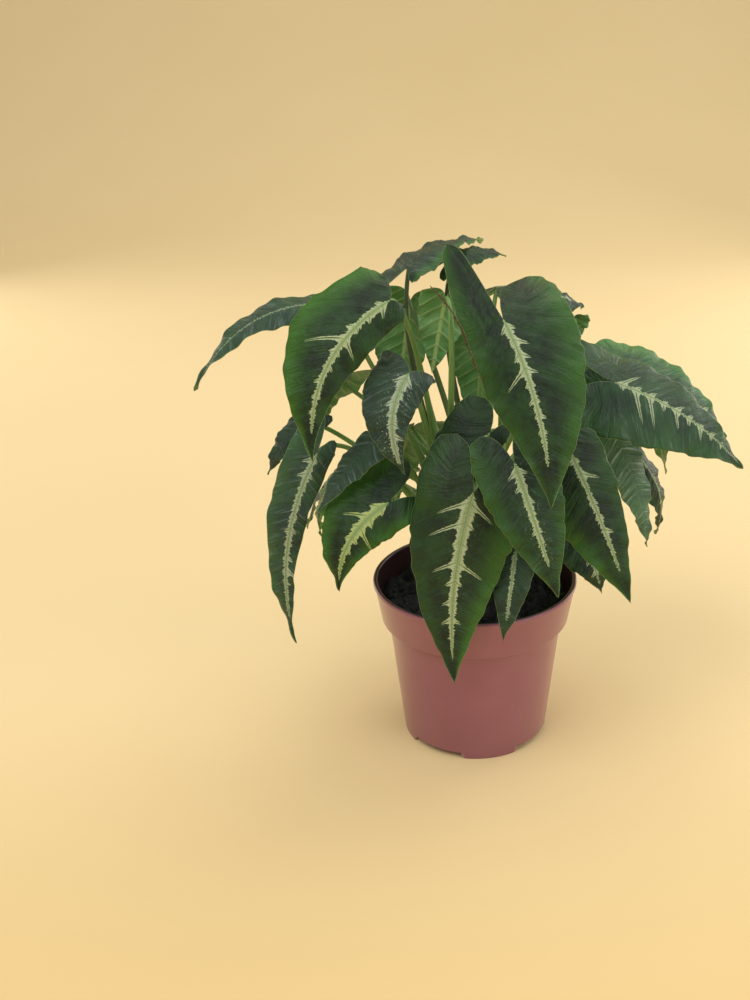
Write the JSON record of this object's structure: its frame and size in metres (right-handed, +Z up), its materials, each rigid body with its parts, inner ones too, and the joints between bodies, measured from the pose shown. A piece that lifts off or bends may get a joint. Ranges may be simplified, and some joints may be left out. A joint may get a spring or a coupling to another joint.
{
  "type": "potted syngonium",
  "caption": "Bushy arrowhead plant with silver-veined dark green leaves, in a thin round nursery pot with a stepped collar.",
  "frame": {"origin": "on the pot's axis, on the surface that the pot stands on, which is also the middle of the whole plant's box seen from above", "axes": "+Z up along the pot's axis, -Y towards the plant's front, +X to the right seen from the front"},
  "size_m": [0.298, 0.186, 0.2966],
  "materials": {
    "pot_plastic": "satin moulded plastic, dusty mauve pink",
    "compost": "dark crumbly peat compost",
    "stalk_green": "smooth living stalk, light green",
    "leaf_green": "velvety dark green blade with a silvery pale green midrib"
  },
  "bodies": {
    "root": {"pot": "pot_plastic", "soil": "compost", "stem_left": "stalk_green", "stem_right": "stalk_green", "stem_back": "stalk_green", "leaf_upper_left": "leaf_green", "leaf_far_left": "leaf_green", "leaf_crest_left": "leaf_green", "leaf_crest_right": "leaf_green", "leaf_front_large": "leaf_green", "leaf_front_centre": "leaf_green", "leaf_front_right": "leaf_green", "leaf_low_right": "leaf_green", "leaf_centre_small": "leaf_green", "leaf_left_hanging": "leaf_green", "leaf_left_wrinkled": "leaf_green", "leaf_left_low": "leaf_green", "leaf_left_sliver": "leaf_green", "leaf_over_rim": "leaf_green", "leaf_behind_low_right": "leaf_green", "leaf_right_twisted": "leaf_green", "leaf_right_behind": "leaf_green", "leaf_far_right": "leaf_green", "leaf_far_right_back": "leaf_green", "leaf_right_under": "leaf_green", "leaf_upper_right": "leaf_green", "leaf_upper_right_light": "leaf_green", "leaf_centre_dark": "leaf_green", "leaf_left_curled": "leaf_green", "leaf_inner_left": "leaf_green", "leaf_inner_top": "leaf_green", "leaf_inner_right": "leaf_green", "leaf_back_left": "leaf_green", "leaf_back_right": "leaf_green", "leaf_back_centre": "leaf_green", "leaf_back_low_left": "leaf_green", "leaf_back_low_right": "leaf_green", "leaf_back_mid_left": "leaf_green", "leaf_back_mid_right": "leaf_green", "leaf_back_crest": "leaf_green", "leaf_left_mid_back": "leaf_green", "leaf_back_far_right": "leaf_green", "leaf_side_low_left": "leaf_green", "leaf_side_low_right": "leaf_green"}
  },
  "joints": []
}
